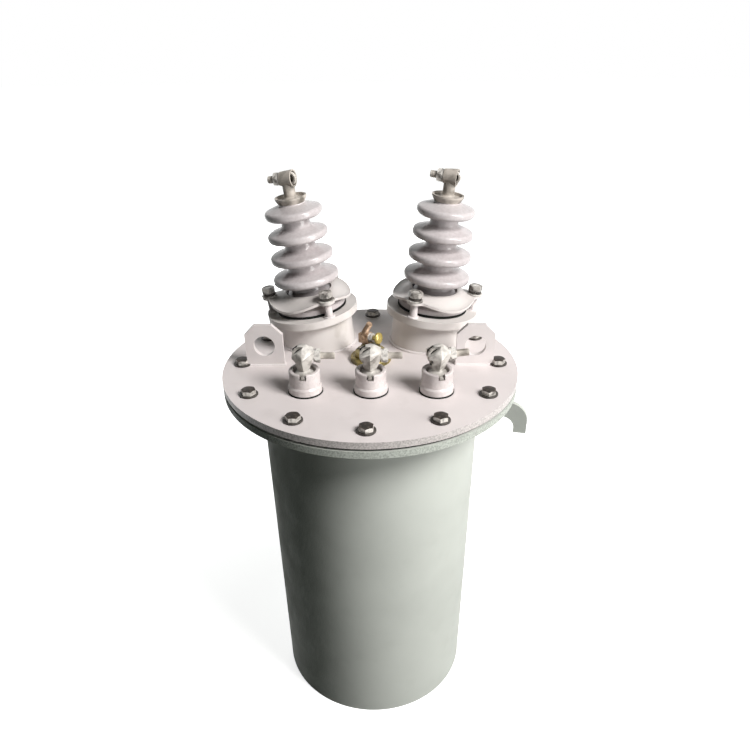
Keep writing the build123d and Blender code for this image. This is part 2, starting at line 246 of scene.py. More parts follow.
def makeLights(s):
    makeLamp("keyLight", s["aim"], s["key"])
    makeLamp("sideLight", s["aim"], s["side"])
    rear = makeLamp("rearLight", s["aim"], s["rear"])
    rear.visible_glossy = False  # keeps the far rims from glaring
    world = bpy.data.worlds.new("paleRoom")
    world.use_nodes = True
    nodes, links = world.node_tree.nodes, world.node_tree.links
    nodes.clear()
    out = nodes.new("ShaderNodeOutputWorld")
    dim = backgroundOf(nodes, s["worldColour"], s["worldLevel"])
    shown = backgroundOf(nodes, s["worldShown"], 1.0)
    links.new(seenOver(nodes, links, dim, shown), out.inputs["Surface"])
    scene.world = world


makeLights(lightSettings)


# floor: dark for the light it would throw back, pale where it is seen, with the shadow kept

floorSettings = {
    "reach": 12.0, "drop": 0.0002, "grey": 0.04, "shown": 0.8,
    "near": 0.30, "far": 0.75, "glowNear": 0.80, "glowFar": 1.0,
}


def greyDiffuse(nodes, level):
    node = nodes.new("ShaderNodeBsdfDiffuse")
    node.inputs["Color"].default_value = (level, level, level, 1.0)
    return node.outputs[0]


def makeFloor(s):
    mesh = bpy.data.meshes.new("studioFloor")
    r = s["reach"]
    mesh.from_pydata([(-r, -r, 0), (r, -r, 0), (r, r, 0), (-r, r, 0)], [], [(0, 1, 2, 3)])
    floor = bpy.data.objects.new("studioFloor", mesh)
    scene.collection.objects.link(floor)
    floor.location.z = -s["drop"]
    mat = bpy.data.materials.new("paleFloor")
    mat.use_nodes = True
    nodes, links = mat.node_tree.nodes, mat.node_tree.links
    nodes.clear()
    out = nodes.new("ShaderNodeOutputMaterial")
    coords = nodes.new("ShaderNodeTexCoord")
    distance = nodes.new("ShaderNodeVectorMath")
    distance.operation = "LENGTH"
    links.new(coords.outputs["Object"], distance.inputs[0])
    level = remap(nodes, links, distance.outputs["Value"],
                  s["near"], s["far"], s["glowNear"], s["glowFar"])
    glow = nodes.new("ShaderNodeEmission")
    glow.inputs["Color"].default_value = (1.0, 1.0, 1.0, 1.0)
    links.new(level, glow.inputs["Strength"])
    pale = nodes.new("ShaderNodeAddShader")
    links.new(greyDiffuse(nodes, s["shown"]), pale.inputs[0])
    links.new(glow.outputs[0], pale.inputs[1])
    dull = greyDiffuse(nodes, s["grey"])
    links.new(seenOver(nodes, links, dull, pale.outputs[0]), out.inputs["Surface"])
    mesh.materials.append(mat)


makeFloor(floorSettings)
print("camera, lights and floor ready")


# finishes; a range holds the noise values between which a pattern sets in

levelness = (0.3, 0.7)  # upright part of a face's direction, from a side to a top


def sideMask(nodes, links):
    # 1 on upright faces, 0 on level ones
    normal = nodes.new("ShaderNodeNewGeometry").outputs["Normal"]
    steep = combined(nodes, links, "ABSOLUTE", upPart(nodes, links, normal))
    return remap(nodes, links, steep, *levelness, 1.0, 0.0)


def paintedShadeBelow(nodes, links, coords, cover, paintedShade, s):
    # painted shade, darker toward the bottom: it thins out between low and high; with a start it sets
    # in only between start and full
    height = upPart(nodes, links, coords)
    deep = remap(nodes, links, height, s["low"], s["high"], s["share"], 0.0)
    if "start" in s:
        below = remap(nodes, links, height, s["start"], s["full"], 0.0, 1.0)
        deep = combined(nodes, links, "MULTIPLY", deep, below)
    return mixed(nodes, links, deep, cover, paintedShade)


paintSettings = {
    "driftScale": 7.0, "driftDetail": 4.0, "driftRange": (0.35, 0.65), "driftShades": (0.955, 1.03),
    "dustScale": 26.0, "dustDetail": 8.0, "dustRange": (0.56, 0.74),
    "shineRange": (0.3, 0.7), "shinier": 0.05, "duller": 0.12,
    "fleckScale": 420.0, "fleckDetail": 6.0, "fleckRange": (0.36, 0.60), "fleckShades": (0.72, 1.12),
    "waveScale": 38.0, "waveDepth": 0.0006, "waveStrength": 0.25,
    "peelScale": 420.0, "peelDepth": 0.00008, "peelStrength": 0.5, "bumpDetail": 2.0,
}


def paintedSteel(name, colour, dirt, roughness=0.34, dirtShare=0.35, gloss=0.42, edge=None):
    # sprayed enamel: faint orange peel, soft colour drift and a few dusty patches;
    # an edge colour gives upright faces a darker, flecked look
    s = paintSettings
    mat, nodes, links, skin, coords = freshMaterial(name)
    drift = noiseAt(nodes, links, coords, s["driftScale"], s["driftDetail"])
    pale, deep = (shade(colour, share) for share in s["driftShades"])
    body = ramp(nodes, links, drift, *s["driftRange"], pale, deep)
    dust = noiseAt(nodes, links, coords, s["dustScale"], s["dustDetail"])
    share = remap(nodes, links, dust, *s["dustRange"], 0.0, dirtShare)
    cover = mixed(nodes, links, share, body, dirt)
    if edge:
        fleck = noiseAt(nodes, links, coords, s["fleckScale"], s["fleckDetail"])
        dark, light = (shade(edge, share) for share in s["fleckShades"])
        flecked = ramp(nodes, links, fleck, *s["fleckRange"], dark, light)
        cover = mixed(nodes, links, sideMask(nodes, links), cover, flecked)
    links.new(cover, skin.inputs["Base Color"])
    shine = remap(nodes, links, dust, *s["shineRange"],
                  roughness - s["shinier"], roughness + s["duller"])
    links.new(shine, skin.inputs["Roughness"])
    peel = noiseAt(nodes, links, coords, s["peelScale"], s["bumpDetail"])
    wave = noiseAt(nodes, links, coords, s["waveScale"], s["bumpDetail"])
    first = bumpFrom(nodes, links, skin, wave, s["waveDepth"], s["waveStrength"])
    bumpFrom(nodes, links, skin, peel, s["peelDepth"], s["peelStrength"], first)
    skin.inputs["Specular IOR Level"].default_value = gloss
    return mat


glazeSettings = {
    "poolScale": 14.0, "poolStretch": (1.0, 1.0, 2.2), "poolRange": (0.35, 0.68),
    "grainScale": 230.0, "grainDetail": 8.0, "grainRange": (0.36, 0.6),
    "grainDark": (0.91, 0.905, 0.90), "grainPale": (1.0, 1.0, 1.0),
    "speckScale": 520.0, "speckDetail": 1.0, "speckRange": (0.70, 0.78),
    "speckShare": 0.35, "speckShade": 0.45,
    # the last of these sets how dark the painted shade low on a part is
    "shineRange": (0.3, 0.7), "duller": 0.08, "gloss": 0.4, "paintedShadeLevel": 0.25,
    "bumpScale": 110.0, "bumpDepth": 0.0006, "bumpStrength": 0.35, "detail": 3.0,
}


def glazedCeramic(name, colour, tint, roughness, paintedShade=None):
    # fired glaze: pooled tone, fine grain, pinholes and a hard gloss
    s = glazeSettings
    mat, nodes, links, skin, coords = freshMaterial(name)
    pool = noiseAt(nodes, links, coords, s["poolScale"], s["detail"], s["poolStretch"])
    body = ramp(nodes, links, pool, *s["poolRange"], colour, tint)
    grain = noiseAt(nodes, links, coords, s["grainScale"], s["grainDetail"])
    grain = ramp(nodes, links, grain, *s["grainRange"], s["grainDark"], s["grainPale"])
    body = mixed(nodes, links, 1.0, body, grain, "MULTIPLY")
    speck = noiseAt(nodes, links, coords, s["speckScale"], s["speckDetail"])
    share = remap(nodes, links, speck, *s["speckRange"], 0.0, s["speckShare"])
    body = mixed(nodes, links, share, body, shade(colour, s["speckShade"]))
    # painted shade low on the part, where given
    if paintedShade:
        body = paintedShadeBelow(nodes, links, coords, body, shade(colour, s["paintedShadeLevel"]), paintedShade)
    links.new(body, skin.inputs["Base Color"])
    shine = remap(nodes, links, pool, *s["shineRange"], roughness, roughness + s["duller"])
    links.new(shine, skin.inputs["Roughness"])
    ripple = noiseAt(nodes, links, coords, s["bumpScale"], s["detail"])
    bumpFrom(nodes, links, skin, ripple, s["bumpDepth"], s["bumpStrength"])
    skin.inputs["Specular IOR Level"].default_value = s["gloss"]
    return mat


metalSettings = {
    "patchDetail": 7.0, "patchRange": (0.45, 0.68), "shineRange": (0.35, 0.7), "duller": 0.22,
    "grainScale": 180.0, "grainDetail": 3.0, "grainDepth": 0.00015, "grainStrength": 0.5,
    # how dark the painted shade low on a part is
    "paintedShadeLevel": 0.5,
}


def plainMetal(name, colour, stain, roughness, stainShare, metallic, patchScale=60.0,
               gloss=0.5, paintedShade=None):
    # cast or plated metal with tarnish in patches and a fine grain
    s = metalSettings
    mat, nodes, links, skin, coords = freshMaterial(name)
    patch = noiseAt(nodes, links, coords, patchScale, s["patchDetail"])
    share = remap(nodes, links, patch, *s["patchRange"], 0.0, stainShare)
    cover = mixed(nodes, links, share, colour, stain)
    # painted shade low on the part, where given
    if paintedShade:
        cover = paintedShadeBelow(nodes, links, coords, cover, shade(stain, s["paintedShadeLevel"]), paintedShade)
    links.new(cover, skin.inputs["Base Color"])
    shine = remap(nodes, links, patch, *s["shineRange"], roughness, roughness + s["duller"])
    links.new(shine, skin.inputs["Roughness"])
    skin.inputs["Metallic"].default_value = metallic
    skin.inputs["Specular IOR Level"].default_value = gloss
    grain = noiseAt(nodes, links, coords, s["grainScale"], s["grainDetail"])
    bumpFrom(nodes, links, skin, grain, s["grainDepth"], s["grainStrength"])
    return mat


rubberSettings = {
    "mottleScale": 90.0, "mottleDetail": 4.0, "mottleRange": (0.4, 0.7), "paleShade": 2.2,
    "shineRange": (0.3, 0.7), "roughness": (0.55, 0.8), "gloss": 0.12,
    "grainScale": 600.0, "grainDetail": 2.0, "grainDepth": 0.0001, "grainStrength": 0.5,
}


def mattRubber(name, colour):
    s = rubberSettings
    mat, nodes, links, skin, coords = freshMaterial(name)
    mottle = noiseAt(nodes, links, coords, s["mottleScale"], s["mottleDetail"])
    body = ramp(nodes, links, mottle, *s["mottleRange"], colour, shade(colour, s["paleShade"]))
    links.new(body, skin.inputs["Base Color"])
    shine = remap(nodes, links, mottle, *s["shineRange"], *s["roughness"])
    links.new(shine, skin.inputs["Roughness"])
    grain = noiseAt(nodes, links, coords, s["grainScale"], s["grainDetail"])
    bumpFrom(nodes, links, skin, grain, s["grainDepth"], s["grainStrength"])
    skin.inputs["Specular IOR Level"].default_value = s["gloss"]
    return mat


tankPaint = paintedSteel("tankPaint", (0.545, 0.57, 0.53), (0.40, 0.42, 0.38),
                         roughness=0.55, dirtShare=0.12, gloss=0.08)
flangePaint = paintedSteel("flangePaint", (0.55, 0.57, 0.53), (0.38, 0.40, 0.35),
                           roughness=0.5, dirtShare=0.3, gloss=0.1, edge=(0.47, 0.50, 0.455))
lidPaint = paintedSteel("lidPaint", (0.72, 0.672, 0.666), (0.55, 0.50, 0.48),
                        roughness=0.36, dirtShare=0.2)
lidPlatePaint = paintedSteel("lidPlatePaint", (0.75, 0.69, 0.685), (0.55, 0.50, 0.48),
                             roughness=0.36, dirtShare=0.25, edge=(0.53, 0.495, 0.48))
turretPaint = paintedSteel("turretPaint", (0.70, 0.662, 0.64), (0.40, 0.37, 0.31),
                           roughness=0.40, dirtShare=0.5, gloss=0.3)
clampPaint = paintedSteel("clampPaint", (0.66, 0.62, 0.60), (0.30, 0.27, 0.24), dirtShare=0.55)

# painted shade on the porcelain neck under the lowest shed
neckPaintedShade = {"start": 0.681, "full": 0.686, "low": 0.698, "high": 0.711, "share": 0.7}
hvGlaze = glazedCeramic("hvGlaze", (0.50, 0.455, 0.46), (0.63, 0.59, 0.595),
                        roughness=0.1, paintedShade=neckPaintedShade)
lvGlaze = glazedCeramic("lvGlaze", (0.58, 0.53, 0.525), (0.68, 0.63, 0.62), roughness=0.22)
blackRubber = mattRubber("blackRubber", (0.006, 0.007, 0.006))

# painted shade low in the terminals' recess
recessPaintedShade = {"low": 0.632, "high": 0.641, "share": 0.9}
tinnedBronze = plainMetal("tinnedBronze", (0.67, 0.64, 0.60), (0.14, 0.12, 0.10), roughness=0.30,
                          stainShare=0.75, metallic=0.05, patchScale=75.0, paintedShade=recessPaintedShade)
tinnedBolt = plainMetal("tinnedBolt", (0.66, 0.62, 0.57), (0.20, 0.17, 0.14), roughness=0.28,
                        stainShare=0.6, metallic=0.1, patchScale=90.0)
# near-black painted shade for the inside of the terminals' slots
slotPaintedShade = plainMetal("slotPaintedShade", (0.022, 0.019, 0.015), (0.07, 0.06, 0.045), roughness=0.5,
                        stainShare=0.5, metallic=0.0, patchScale=120.0, gloss=0.15)
oxidisedBronze = plainMetal("oxidisedBronze", (0.52, 0.47, 0.42), (0.10, 0.09, 0.07),
                            roughness=0.38, stainShare=0.85, metallic=0.0, patchScale=70.0)
zincPlate = plainMetal("zincPlate", (0.70, 0.67, 0.63), (0.07, 0.06, 0.05), roughness=0.26,
                       stainShare=0.9, metallic=0.15, patchScale=120.0)
# painted dark reflection: a darkened zinc for the clamp nuts
zincDarkReflection = plainMetal("zincDarkReflection", (0.40, 0.375, 0.345), (0.035, 0.03, 0.026), roughness=0.24,
                      stainShare=0.9, metallic=0.1, patchScale=150.0, gloss=0.8)
washerSteel = plainMetal("washerSteel", (0.026, 0.021, 0.018), (0.20, 0.18, 0.16), roughness=0.35,
                         stainShare=0.4, metallic=0.1, patchScale=90.0, gloss=0.35)
# painted dark reflection on the bolt heads' tops and chamfers
darkTopReflection = plainMetal("darkTopReflection", (0.020, 0.015, 0.012), (0.16, 0.13, 0.11), roughness=0.4,
                      stainShare=0.5, metallic=0.0, patchScale=190.0, gloss=0.25)
brassTurned = plainMetal("brassTurned", (0.30, 0.235, 0.075), (0.03, 0.028, 0.012), roughness=0.25,
                         stainShare=0.95, metallic=0.4, patchScale=55.0)
brassDark = plainMetal("brassDark", (0.12, 0.10, 0.04), (0.02, 0.018, 0.010), roughness=0.28,
                       stainShare=0.8, metallic=0.4)
brassPolished = plainMetal("brassPolished", (0.45, 0.35, 0.105), (0.20, 0.14, 0.04), roughness=0.2,
                           stainShare=0.5, metallic=0.4, patchScale=90.0)
copperAlloy = plainMetal("copperAlloy", (0.52, 0.36, 0.24), (0.12, 0.07, 0.035), roughness=0.28,
                         stainShare=0.85, metallic=0.4, patchScale=80.0)

slotFinish = {
    "tank_paint": tankPaint, "lid_paint": lidPaint, "hv_glaze": hvGlaze, "lv_glaze": lvGlaze,
    "gasket_rubber": blackRubber, "clamp_paint": clampPaint, "tinned": tinnedBronze,
    "zinc": zincPlate, "brass_fitting": brassTurned, "copper_fitting": copperAlloy,
}
nodeFinish = {
    "fitting_body": brassDark, "lid_plate": lidPlatePaint, "tank_flange": flangePaint,
    "hv_terminal_left": oxidisedBronze, "hv_terminal_right": oxidisedBronze,
    "hv_turret_left": turretPaint, "hv_turret_right": turretPaint,
    "hv_turret_ring_left": turretPaint, "hv_turret_ring_right": turretPaint,
}


def finishFrame():
    # a node's own finish where it has one, else its slot's
    slots = {part["node"]: part["material_slot"] for part in frame["record"]["subparts"]}
    for name, node in frame["nodes"].items():
        node.data.materials.clear()
        node.data.materials.append(nodeFinish.get(name, slotFinish[slots[name]]))


finishFrame()
print("finishes on the frame")


# shared mesh helpers

smoothBelow = 35.0  # degrees; sharper edges stay crisp


def newPiece(name, mesh, materials, place=Matrix.Identity(4)):
    # a mesh that brings its own materials is taken as it is
    obj = bpy.data.objects.new(name, mesh)
    scene.collection.objects.link(obj)
    obj.matrix_world = place
    if not mesh.materials:
        for mat in materials:
            mesh.materials.append(mat)
        mesh.shade_smooth()
        mesh.set_sharp_from_angle(angle=radians(smoothBelow))
    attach(obj, "root")
    return obj


def meshFrom(name, bm):
    bmesh.ops.recalc_face_normals(bm, faces=bm.faces)
    mesh = bpy.data.meshes.new(name)
    bm.to_mesh(mesh)
    bm.free()
    return mesh


def addRing(bm, profile, segments):
    # closed profile of (radius, height) swept round Z
    loops = []
    for step in range(segments):
        a = 2 * pi * step / segments
        loops.append([bm.verts.new((r * sin(a), -r * cos(a), z)) for r, z in profile])
    for one, two in zip(loops, loops[1:] + loops[:1]):
        for i in range(len(profile)):
            j = (i + 1) % len(profile)
            bm.faces.new((one[i], two[i], two[j], one[j]))


def addTurned(bm, outline, segments):
    # solid of revolution from (radius, height) points that start and end on the axis
    low = bm.verts.new((0, 0, outline[0][1]))
    high = bm.verts.new((0, 0, outline[-1][1]))
    angles = [2 * pi * i / segments for i in range(segments)]
    rows = [[bm.verts.new((r * cos(a), r * sin(a), z)) for a in angles] for r, z in outline[1:-1]]
    for i in range(segments):
        j = (i + 1) % segments
        bm.faces.new((low, rows[0][j], rows[0][i]))
        bm.faces.new((high, rows[-1][i], rows[-1][j]))
        for one, two in zip(rows, rows[1:]):
            bm.faces.new((one[i], one[j], two[j], two[i]))


hexSettings = {"perSide": 6, "chamfer": 25.0, "headCrown": 0.99, "nutCrown": 0.94, "headFoot": 0.2}


def addHex(bm, flats, height, bore=0.0):
    # hexagon with the rounded corners that a turned chamfer leaves: a nut where it has a bore,
    # else a bolt head, whose top and chamfer take the second material
    s = hexSettings
    count = 6 * s["perSide"]
    half = flats / 2
    crown = half * (s["nutCrown"] if bore else s["headCrown"])
    rows = []
    for ring in range(4):
        row = []
        for step in range(count):
            a = 2 * pi * step / count
            edge = half / cos((a % (2 * pi / 6)) - pi / 6)
            drop = (edge - crown) * tan(radians(s["chamfer"]))
            if ring == 0:
                r, z = (crown, 0.0) if bore else (edge, 0.0)
            elif ring == 1:
                r, z = edge, (drop if bore else height * s["headFoot"])
            elif ring == 2:
                r, z = edge, height - drop
            else:
                r, z = crown, height
            row.append(bm.verts.new((r * sin(a), r * cos(a), z)))
        rows.append(row)
    for low, high in zip(rows, rows[1:]):
        for i in range(count):
            j = (i + 1) % count
            face = bm.faces.new((low[i], low[j], high[j], high[i]))
            if high is rows[3] and not bore:
                face.material_index = 1
    if bore:
        for row, z in ((rows[0], 0.0), (rows[3], height)):
            angles = [2 * pi * i / count for i in range(count)]
            inner = [bm.verts.new((bore * sin(a), bore * cos(a), z)) for a in angles]
            for i in range(count):
                j = (i + 1) % count
                bm.faces.new((row[i], row[j], inner[j], inner[i]))
    else:
        bm.faces.new(rows[0])
        bm.faces.new(rows[3]).material_index = 1


threadSettings = {
    "depth": 0.55,  # share of the pitch
    "shape": ((0.0, 1.0), (0.14, 1.0), (0.5, 0.0), (0.62, 0.0)),  # rise in a turn, crest 1 or root 0
    "runOut": 0.9,
}


def addThread(bm, radius, pitch, length, place=Matrix.Identity(4), segments=24):
    # one start thread with a flat crest and root, run out to a chamfer at both ends
    s = threadSettings
    depth = pitch * s["depth"]
    rows = []
    for turn in range(-1, int(length / pitch) + 3):
        for rise, out in s["shape"]:
            row = []
            for i in range(segments + 1):
                a = 2 * pi * i / segments
                z = (turn + rise + i / segments) * pitch
                grown = max(min(z, length - z), 0.0) * s["runOut"]
                r = min(radius - depth * (1 - out), radius - depth + min(grown, depth))
                z = min(max(z, 0.0), length)
                row.append(bm.verts.new(place @ Vector((r * cos(a), r * sin(a), z))))
            rows.append(row)
    for low, high in zip(rows, rows[1:]):
        for i in range(segments):
            bm.faces.new((low[i], low[i + 1], high[i + 1], high[i]))
    bmesh.ops.remove_doubles(bm, verts=[v for row in rows for v in row], dist=1e-6)
    core = radius - depth
    angles = [2 * pi * i / segments for i in range(segments)]
    for z in (0.0, length):
        edge = [bm.verts.new(place @ Vector((core * cos(a), core * sin(a), z))) for a in angles]
        middle = bm.verts.new(place @ Vector((0, 0, z)))
        for i in range(segments):
            bm.faces.new((edge[i], edge[(i + 1) % segments], middle))


washerSoft = 0.0003  # bevel on a washer's outer edges


def washerMesh(name, inner, outer, thick, segments):
    soft = washerSoft
    bm = bmesh.new()
    addRing(bm, [(inner, 0), (outer - soft, 0), (outer, soft),
                 (outer, thick - soft), (outer - soft, thick), (inner, thick)], segments)
    return meshFrom(name, bm)


def nutMesh(name, flats, height, bore):
    bm = bmesh.new()
    addHex(bm, flats, height, bore)
    return meshFrom(name, bm)


def raised(height):
    return Matrix.Translation((0, 0, height))


# lid bolts: heads and washers above, nuts and washers under the flange

boltSettings = {
    "circle": 0.190, "count": 12, "size": 0.012, "pitch": 0.00175, "below": 0.0015,
    "flats": 0.0182, "headHeight": 0.0062, "nutHeight": 0.0100, "washer": 0.0130,
    "washerThick": 0.0022, "washerPlay": 0.0004, "nutBite": 0.0006, "shankPlay": 0.0004,
    "washerSteps": 40, "shankSteps": 20, "seed": 7,
}


def makeLidBolts(s):
    random.seed(s["seed"])
    radius = s["size"] / 2
    bm = bmesh.new()
    addHex(bm, s["flats"], s["headHeight"])
    head = meshFrom("boltHead", bm)
    washer = washerMesh("boltWasher", radius + s["washerPlay"], s["washer"],
                        s["washerThick"], s["washerSteps"])
    nut = nutMesh("boltNut", s["flats"], s["nutHeight"], radius - s["nutBite"])
    bm = bmesh.new()
    hanging = s["washerThick"] + s["nutHeight"] + s["below"]
    addThread(bm, radius, s["pitch"], hanging, segments=s["shankSteps"])
    plain = radius - s["shankPlay"]
    through = -(lidTop - rimUnder)
    addTurned(bm, [(0, through), (plain, through), (plain, 0), (0, 0)], s["shankSteps"])
    shank = meshFrom("boltShank", bm)
    for step in range(s["count"]):
        a = 2 * pi * step / s["count"]
        spot = Vector((s["circle"] * sin(a), -s["circle"] * cos(a), 0))
        turn = Matrix.Rotation(random.uniform(0, 2 * pi), 4, "Z")
        name = "%02d" % (step + 1)
        top = Matrix.Translation(spot + Vector((0, 0, lidTop)))
        under = Matrix.Translation(spot + Vector((0, 0, rimUnder))) @ Matrix.Rotation(pi, 4, "X")
        past = raised(s["washerThick"])
        newPiece("lidWasher" + name, washer, [washerSteel], top)
        # the head's top and chamfer carry a painted dark reflection
        newPiece("lidBoltHead" + name, head, [zincPlate, darkTopReflection], top @ past @ turn)
        newPiece("flangeWasher" + name, washer, [zincPlate], under)
        newPiece("flangeNut" + name, nut, [zincPlate], under @ past @ turn)
        newPiece("lidBoltShank" + name, shank, [zincPlate], under)


makeLidBolts(boltSettings)
print("lid bolts made")


# high voltage side: threaded studs, nuts and washers on the clamps

turretSettings = {
    "offset": 0.087, "shift": 0.0025, "setback": 0.090, "leanLeft": -7.2, "leanRight": 5.8,
}
studSettings = {
    "count": 3, "circle": 0.062, "turn": 30.5, "size": 0.012, "pitch": 0.00175, "foot": 0.056,
    "length": 0.0385, "painted": 0.0185, "ear": 0.0811, "washer": 0.0122, "washerThick": 0.0018,
    "washerPlay": 0.0004, "nutFlats": 0.0186, "nutHeight": 0.0085, "nutBite": 0.0006,
    "washerSteps": 40, "seed": 11,
}
springSettings = {
    "outer": 0.0098, "thick": 0.0026, "play": 0.0003, "gap": 12.0, "lift": 0.35, "rest": 0.18,
    "height": 1.36, "steps": 36,
}


def turretLean(side):
    return radians(turretSettings["leanRight"] if side > 0 else turretSettings["leanLeft"])


def turretPlace(side):
    s = turretSettings
    spot = Vector((side * s["offset"] + s["shift"], s["setback"], lidTop))
    return Matrix.Translation(spot) @ Matrix.Rotation(turretLean(side), 4, "Y")


def studPlaces(side, s):
    spread = 360.0 / s["count"]
    return [turretPlace(side) @ Matrix.Rotation(radians(-side * s["turn"] + spread * k), 4, "Z")
            @ Matrix.Translation((0, -s["circle"], 0)) for k in range(s["count"])]


def makeSpringWasher(name, inner, s):
    # split ring whose ends stand a little apart
    bm = bmesh.new()
    loops = []
    for step in range(s["steps"] + 1):
        along = step / s["steps"]
        a = radians(s["gap"] / 2) + (2 * pi - radians(s["gap"])) * along
        lift = s["thick"] * (s["lift"] * (along - 0.5) + s["rest"])
        loops.append([bm.verts.new((r * cos(a), r * sin(a), z + lift)) for r, z in (
            (inner, 0), (s["outer"], 0), (s["outer"], s["thick"]), (inner, s["thick"]))])
    for one, two in zip(loops, loops[1:]):
        for i in range(4):
            bm.faces.new((one[i], two[i], two[(i + 1) % 4], one[(i + 1) % 4]))
    bm.faces.new(loops[0])
    bm.faces.new(loops[-1])
    return meshFrom(name, bm)


def makeStuds(s, spring):
    radius = s["size"] / 2
    washer = washerMesh("studWasher", radius + s["washerPlay"], s["washer"],
                        s["washerThick"], s["washerSteps"])
    split = makeSpringWasher("studSpringWasher", radius + spring["play"], spring)
    nut = nutMesh("studNut", s["nutFlats"], s["nutHeight"], radius - s["nutBite"])
    onSpring = s["ear"] + s["washerThick"]
    onNut = onSpring + spring["thick"] * spring["height"]
    random.seed(s["seed"])
    for side, hand in ((-1, "Left"), (1, "Right")):
        bm = bmesh.new()
        for place in studPlaces(side, s):
            addThread(bm, radius, s["pitch"], s["length"], place @ raised(s["foot"]))
        back = turretPlace(side).inverted()
        for face in bm.faces:
            if (back @ face.calc_center_median()).z < s["foot"] + s["painted"]:
                face.material_index = 1
        name = "clampStuds" + hand
        studs = newPiece(name, meshFrom(name, bm), [zincPlate, lidPaint])
        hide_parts("hv_studs_" + hand.lower())
        for k, place in enumerate(studPlaces(side, s)):
            turn = Matrix.Rotation(random.uniform(0, 2 * pi), 4, "Z")
            end = "%s%d" % (hand, k + 1)
            newPiece("clampWasher" + end, washer, [zincPlate], place @ raised(s["ear"]))
            newPiece("clampSpringWasher" + end, split, [washerSteel],
                     place @ raised(onSpring) @ turn)
            # the clamp nuts carry the painted dark reflection
            newPiece("clampNut" + end, nut, [zincDarkReflection], place @ raised(onNut) @ turn)


makeStuds(studSettings, springSettings)
print("clamp studs made")


# eyebolts: toothed ring and threaded shank, with their nuts and washers

eyeSettings = {
    "ringWidth": 0.0032, "ringThick": 0.0050, "ringSoft": 0.0005, "teeth": 16, "toothDepth": 0.0008,
    "toothSteps": 6, "shank": 0.0050, "pitch": 0.0015, "nutFlats": 0.0165, "nutHeight": 0.0080,
    "nutBite": 0.0005, "nutTurn": 0.3, "washer": 0.0088, "washerThick": 0.0016, "washerPlay": 0.0003,
    "washerSteps": 36,
}
lvSettings = {
    "pitch": 0.0907, "shift": 0.0035, "setback": -0.084, "boltHeight": 0.0535, "lastTurn": 14.0,
    "eyeRadius": 0.0135, "eyeOffset": 0.0015, "reach": 0.043, "headFace": 0.01435,
    "slotReach": 0.01365, "slotShift": 0.0013, "slotHalf": 0.00445,
}
hvSettings = {
    "boltHeight": 0.2445, "turn": 18.0, "eyeRadius": 0.0088, "eyeOffset": 0.0055, "reach": 0.029,
    "headFace": 0.0093, "slotBack": -0.00995, "slotFront": 0.003, "slotRadius": 0.00935,
}


def addEyebolt(bm, s, radius, offset, reach):
    # ring round Y, its middle offset toward -X, and a shank toward +X
    lay = Matrix.Translation((-offset, 0, 0)) @ Matrix.Rotation(pi / 2, 4, "X")
    half = s["ringThick"] / 2
    inner = radius - s["ringWidth"]
    soft = s["ringSoft"]
    per = s["toothSteps"]
    count = s["teeth"] * per
    loops = []
    for step in range(count):
        a = 2 * pi * step / count
        phase = (step % per) / per
        outer = radius - s["toothDepth"] * max(0.0, 1 - abs(phase - 0.5) * per)
        loops.append([bm.verts.new(lay @ Vector((r * cos(a), r * sin(a), z))) for r, z in (
            (inner, -half + soft), (inner + soft, -half), (outer - soft, -half),
            (outer, -half + soft), (outer, half - soft), (outer - soft, half),
            (inner + soft, half), (inner, half - soft))])
    for one, two in zip(loops, loops[1:] + loops[:1]):
        for i in range(8):
            bm.faces.new((one[i], two[i], two[(i + 1) % 8], one[(i + 1) % 8]))
    start = radius - offset - s["ringWidth"] / 2
    side = Matrix.Translation((start, 0, 0)) @ Matrix.Rotation(pi / 2, 4, "Y")
    addThread(bm, s["shank"], s["pitch"], reach - start, side)


def dressEyebolt(name, node, place, s, own):
    bm = bmesh.new()
    addEyebolt(bm, s, own["eyeRadius"], own["eyeOffset"], own["reach"])
    bolt = newPiece(name + "Bolt", meshFrom(name + "Bolt", bm), [tinnedBolt], place)
    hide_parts(node)
    out = place @ Matrix.Translation((own["headFace"], 0, 0)) @ Matrix.Rotation(pi / 2, 4, "Y")
    washer = washerMesh(name + "Washer", s["shank"] + s["washerPlay"], s["washer"],
                        s["washerThick"], s["washerSteps"])
    newPiece(name + "Washer", washer, [zincPlate], out)
    nut = nutMesh(name + "Nut", s["nutFlats"], s["nutHeight"], s["shank"] - s["nutBite"])
    newPiece(name + "Nut", nut, [zincPlate],
             out @ raised(s["washerThick"]) @ Matrix.Rotation(s["nutTurn"], 4, "Z"))


def lvPlace(step):
    s = lvSettings
    turn = radians(s["lastTurn"]) if step == 2 else 0.0
    spot = Vector((s["shift"] + s["pitch"] * (step - 1), s["setback"], lidTop + s["boltHeight"]))
    return Matrix.Translation(spot) @ Matrix.Rotation(turn, 4, "Z")


def hvPlace(side):
    turn = Matrix.Rotation(pi - radians(hvSettings["turn"]), 4, "Z")
    return turretPlace(side) @ raised(hvSettings["boltHeight"]) @ turn


def paintShadeInside(node, place, inside):
    # paints shade on the faces of a head whose middles lie inside its slot
    mesh = frame["nodes"][node].data
    mesh.materials.append(slotPaintedShade)
    local = place.inverted() @ frame["nodes"][node].matrix_world
    for face in mesh.polygons:
        if inside(local @ face.center):
            face.material_index = len(mesh.materials) - 1


def inLvSlot(p):
    # a straight mouth on the wire's side, round at its end
    s = lvSettings
    past = p.x + s["slotShift"]
    fromAxis = abs(p.z) if past < 0 else Vector((past, p.z)).length
    return abs(p.y) < s["slotHalf"] and fromAxis < s["slotReach"]


def inHvSlot(p):
    s = hvSettings
    return s["slotBack"] < p.x < s["slotFront"] and Vector((p.y, p.z)).length < s["slotRadius"]


jawSettings = {
    "low": (-0.0146, 0.0020), "high": (-0.0005, 0.0126), "slotHalf": 0.0042, "reach": 0.030,
    "smoothBelow": 25.0,
}


